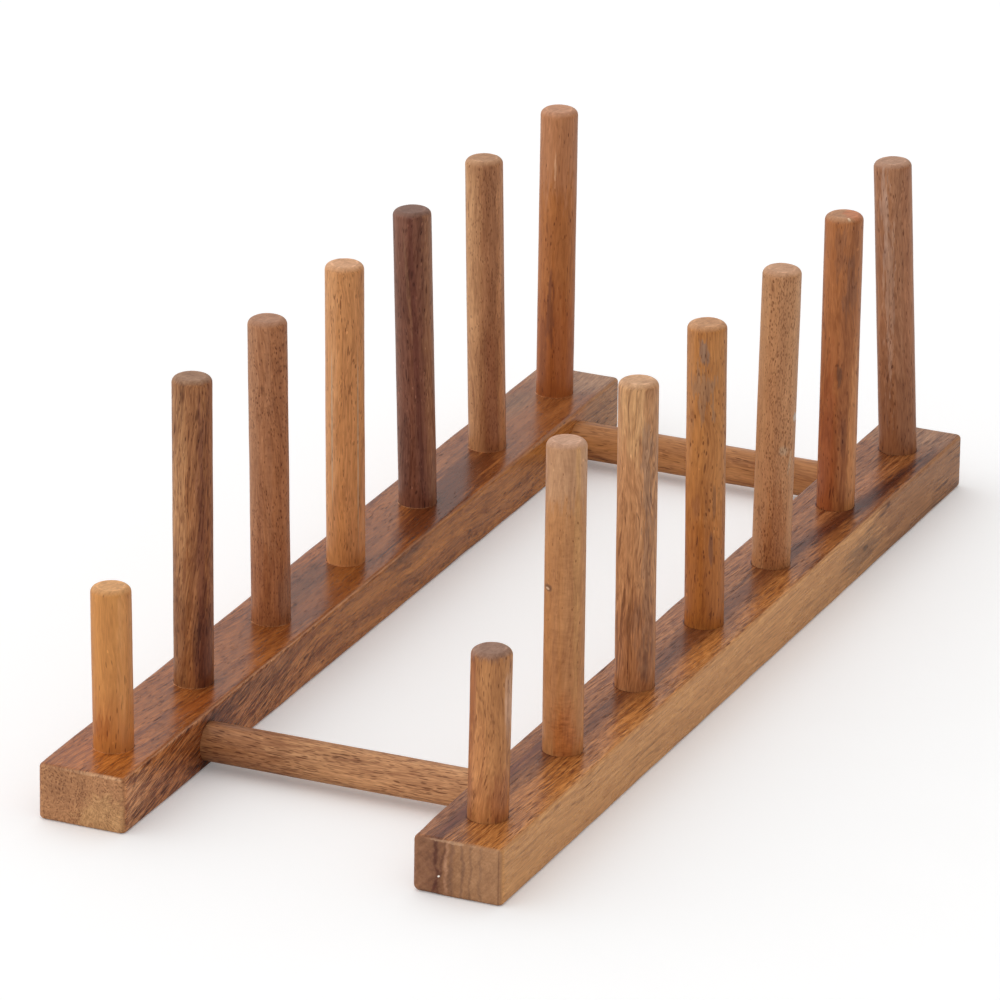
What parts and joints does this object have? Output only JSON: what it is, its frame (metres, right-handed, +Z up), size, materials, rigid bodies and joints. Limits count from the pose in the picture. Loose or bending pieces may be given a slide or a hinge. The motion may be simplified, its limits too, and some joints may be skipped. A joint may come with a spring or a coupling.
{
  "type": "plate stand",
  "caption": "Low wooden plate stand: parallel rails joined by round cross rods, with a row of upright round pegs along each rail that hold plates on edge.",
  "frame": {"origin": "on the table, under the middle of the stand", "axes": "+X across the stand to its right seen from the short pegs' end, +Y along the rails away from the short pegs, +Z up"},
  "size_m": [0.147, 0.367, 0.1141],
  "materials": {
    "rail_wood": "satin",
    "rod_wood": "satin",
    "honey_wood": "satin",
    "tan_wood": "satin",
    "red_wood": "satin",
    "dark_wood": "satin"
  },
  "bodies": {
    "root": {"left_rail": "rail_wood", "right_rail": "rail_wood", "front_rod": "rod_wood", "rear_rod": "rod_wood", "left_short_peg": "honey_wood", "left_peg_2": "red_wood", "left_peg_3": "red_wood", "left_peg_4": "honey_wood", "left_peg_5": "dark_wood", "left_peg_6": "tan_wood", "left_peg_7": "red_wood", "right_short_peg": "honey_wood", "right_peg_2": "tan_wood", "right_peg_3": "tan_wood", "right_peg_4": "honey_wood", "right_peg_5": "tan_wood", "right_peg_6": "red_wood", "right_peg_7": "dark_wood"}
  },
  "joints": []
}
